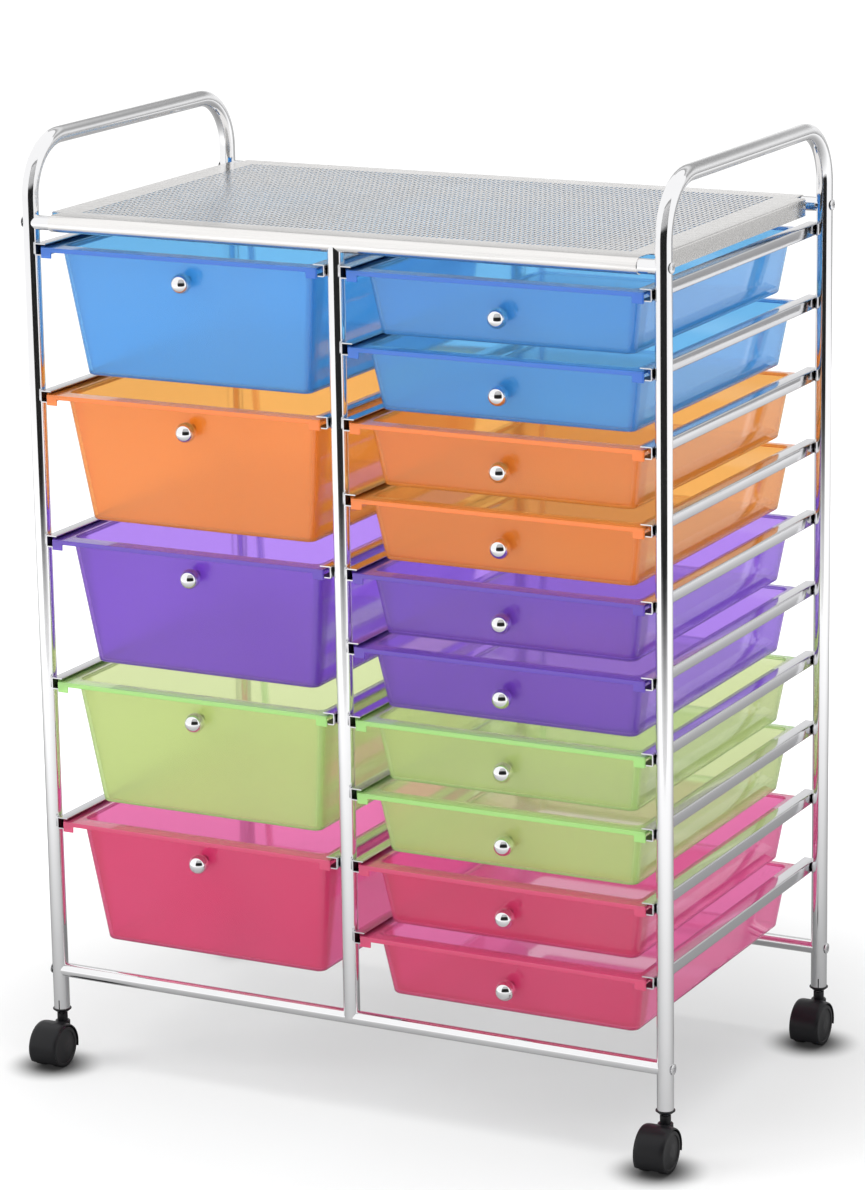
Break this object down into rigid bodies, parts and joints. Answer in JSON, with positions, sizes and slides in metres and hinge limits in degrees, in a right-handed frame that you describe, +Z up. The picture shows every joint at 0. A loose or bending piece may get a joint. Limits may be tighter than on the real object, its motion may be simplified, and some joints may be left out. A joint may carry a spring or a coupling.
{
  "type": "rolling drawer cart",
  "caption": "Rolling cart of chromed tube with a perforated top panel, a column of large and a column of small translucent drawers with ball knobs, and twin-wheel casters.",
  "frame": {"origin": "on the floor, under the middle of the cart's box with the casters trailing to the front", "axes": "+Z up, -Y towards the front where the drawers open, +X to the right seen from the front"},
  "size_m": [0.6486, 0.3999, 0.875],
  "materials": {
    "chrome_tube": "bright chrome plate",
    "chrome_rail": "bright chrome plate",
    "knob_chrome": "bright chrome plate",
    "panel_steel": "bright plated sheet, perforated",
    "screw_steel": "zinc plate",
    "plain_steel": "plain steel",
    "black_plastic": "moulded nylon",
    "wheel_plastic": "moulded nylon",
    "blue_plastic": "translucent moulded plastic",
    "orange_plastic": "translucent moulded plastic",
    "purple_plastic": "translucent moulded plastic",
    "green_plastic": "translucent moulded plastic",
    "pink_plastic": "translucent moulded plastic"
  },
  "bodies": {
    "frame": {"left_side_frame": "chrome_tube", "right_side_frame": "chrome_tube", "centre_posts": "chrome_tube", "bottom_front_tube": "chrome_tube", "bottom_rear_tube": "chrome_tube", "top_front_tube": "chrome_tube", "top_rear_tube": "chrome_tube", "left_rails": "chrome_rail", "centre_rails": "chrome_rail", "right_rails": "chrome_rail", "top_panel": "panel_steel", "tube_inserts": "plain_steel", "frame_screws": "screw_steel", "caster_sockets": "black_plastic"},
    "left_drawer_1_body": {"left_drawer_1": "blue_plastic", "left_knob_1": "knob_chrome"},
    "left_drawer_2_body": {"left_drawer_2": "orange_plastic", "left_knob_2": "knob_chrome"},
    "left_drawer_3_body": {"left_drawer_3": "purple_plastic", "left_knob_3": "knob_chrome"},
    "left_drawer_4_body": {"left_drawer_4": "green_plastic", "left_knob_4": "knob_chrome"},
    "left_drawer_5_body": {"left_drawer_5": "pink_plastic", "left_knob_5": "knob_chrome"},
    "right_drawer_1_body": {"right_drawer_1": "blue_plastic", "right_knob_1": "knob_chrome"},
    "right_drawer_2_body": {"right_drawer_2": "blue_plastic", "right_knob_2": "knob_chrome"},
    "right_drawer_3_body": {"right_drawer_3": "orange_plastic", "right_knob_3": "knob_chrome"},
    "right_drawer_4_body": {"right_drawer_4": "orange_plastic", "right_knob_4": "knob_chrome"},
    "right_drawer_5_body": {"right_drawer_5": "purple_plastic", "right_knob_5": "knob_chrome"},
    "right_drawer_6_body": {"right_drawer_6": "purple_plastic", "right_knob_6": "knob_chrome"},
    "right_drawer_7_body": {"right_drawer_7": "green_plastic", "right_knob_7": "knob_chrome"},
    "right_drawer_8_body": {"right_drawer_8": "green_plastic", "right_knob_8": "knob_chrome"},
    "right_drawer_9_body": {"right_drawer_9": "pink_plastic", "right_knob_9": "knob_chrome"},
    "right_drawer_10_body": {"right_drawer_10": "pink_plastic", "right_knob_10": "knob_chrome"},
    "front_left_caster": {"front_left_caster_housing": "black_plastic", "front_left_caster_stem": "plain_steel", "front_left_caster_axle": "plain_steel"},
    "front_left_wheels": {"front_left_caster_wheels": "wheel_plastic"},
    "front_right_caster": {"front_right_caster_housing": "black_plastic", "front_right_caster_stem": "plain_steel", "front_right_caster_axle": "plain_steel"},
    "front_right_wheels": {"front_right_caster_wheels": "wheel_plastic"},
    "rear_left_caster": {"rear_left_caster_housing": "black_plastic", "rear_left_caster_stem": "plain_steel", "rear_left_caster_axle": "plain_steel"},
    "rear_left_wheels": {"rear_left_caster_wheels": "wheel_plastic"},
    "rear_right_caster": {"rear_right_caster_housing": "black_plastic", "rear_right_caster_stem": "plain_steel", "rear_right_caster_axle": "plain_steel"},
    "rear_right_wheels": {"rear_right_caster_wheels": "wheel_plastic"}
  },
  "joints": [
    {"name": "left_drawer_1_slide", "type": "slide", "parent": "frame", "child": "left_drawer_1_body", "axis": [0, -1, 0], "range_m": [0, 0.25]},
    {"name": "left_drawer_2_slide", "type": "slide", "parent": "frame", "child": "left_drawer_2_body", "axis": [0, -1, 0], "range_m": [0, 0.25]},
    {"name": "left_drawer_3_slide", "type": "slide", "parent": "frame", "child": "left_drawer_3_body", "axis": [0, -1, 0], "range_m": [0, 0.25]},
    {"name": "left_drawer_4_slide", "type": "slide", "parent": "frame", "child": "left_drawer_4_body", "axis": [0, -1, 0], "range_m": [0, 0.25]},
    {"name": "left_drawer_5_slide", "type": "slide", "parent": "frame", "child": "left_drawer_5_body", "axis": [0, -1, 0], "range_m": [0, 0.25]},
    {"name": "right_drawer_1_slide", "type": "slide", "parent": "frame", "child": "right_drawer_1_body", "axis": [0, -1, 0], "range_m": [0, 0.25]},
    {"name": "right_drawer_2_slide", "type": "slide", "parent": "frame", "child": "right_drawer_2_body", "axis": [0, -1, 0], "range_m": [0, 0.25]},
    {"name": "right_drawer_3_slide", "type": "slide", "parent": "frame", "child": "right_drawer_3_body", "axis": [0, -1, 0], "range_m": [0, 0.25]},
    {"name": "right_drawer_4_slide", "type": "slide", "parent": "frame", "child": "right_drawer_4_body", "axis": [0, -1, 0], "range_m": [0, 0.25]},
    {"name": "right_drawer_5_slide", "type": "slide", "parent": "frame", "child": "right_drawer_5_body", "axis": [0, -1, 0], "range_m": [0, 0.25]},
    {"name": "right_drawer_6_slide", "type": "slide", "parent": "frame", "child": "right_drawer_6_body", "axis": [0, -1, 0], "range_m": [0, 0.25]},
    {"name": "right_drawer_7_slide", "type": "slide", "parent": "frame", "child": "right_drawer_7_body", "axis": [0, -1, 0], "range_m": [0, 0.25]},
    {"name": "right_drawer_8_slide", "type": "slide", "parent": "frame", "child": "right_drawer_8_body", "axis": [0, -1, 0], "range_m": [0, 0.25]},
    {"name": "right_drawer_9_slide", "type": "slide", "parent": "frame", "child": "right_drawer_9_body", "axis": [0, -1, 0], "range_m": [0, 0.25]},
    {"name": "right_drawer_10_slide", "type": "slide", "parent": "frame", "child": "right_drawer_10_body", "axis": [0, -1, 0], "range_m": [0, 0.25]},
    {"name": "front_left_swivel", "type": "hinge", "parent": "frame", "child": "front_left_caster", "pos_m": [-0.31, -0.16015, 0.045], "axis": [0, 0, 1], "continuous": true},
    {"name": "front_left_roll", "type": "hinge", "parent": "front_left_caster", "child": "front_left_wheels", "pos_m": [-0.31, -0.17715, 0.0195], "axis": [1, 0, 0], "continuous": true},
    {"name": "front_right_swivel", "type": "hinge", "parent": "frame", "child": "front_right_caster", "pos_m": [0.31, -0.16015, 0.045], "axis": [0, 0, 1], "continuous": true},
    {"name": "front_right_roll", "type": "hinge", "parent": "front_right_caster", "child": "front_right_wheels", "pos_m": [0.31, -0.17715, 0.0195], "axis": [1, 0, 0], "continuous": true},
    {"name": "rear_left_swivel", "type": "hinge", "parent": "frame", "child": "rear_left_caster", "pos_m": [-0.31, 0.19185, 0.045], "axis": [0, 0, 1], "continuous": true},
    {"name": "rear_left_roll", "type": "hinge", "parent": "rear_left_caster", "child": "rear_left_wheels", "pos_m": [-0.31, 0.17485, 0.0195], "axis": [1, 0, 0], "continuous": true},
    {"name": "rear_right_swivel", "type": "hinge", "parent": "frame", "child": "rear_right_caster", "pos_m": [0.31, 0.19185, 0.045], "axis": [0, 0, 1], "continuous": true},
    {"name": "rear_right_roll", "type": "hinge", "parent": "rear_right_caster", "child": "rear_right_wheels", "pos_m": [0.31, 0.17485, 0.0195], "axis": [1, 0, 0], "continuous": true}
  ]
}
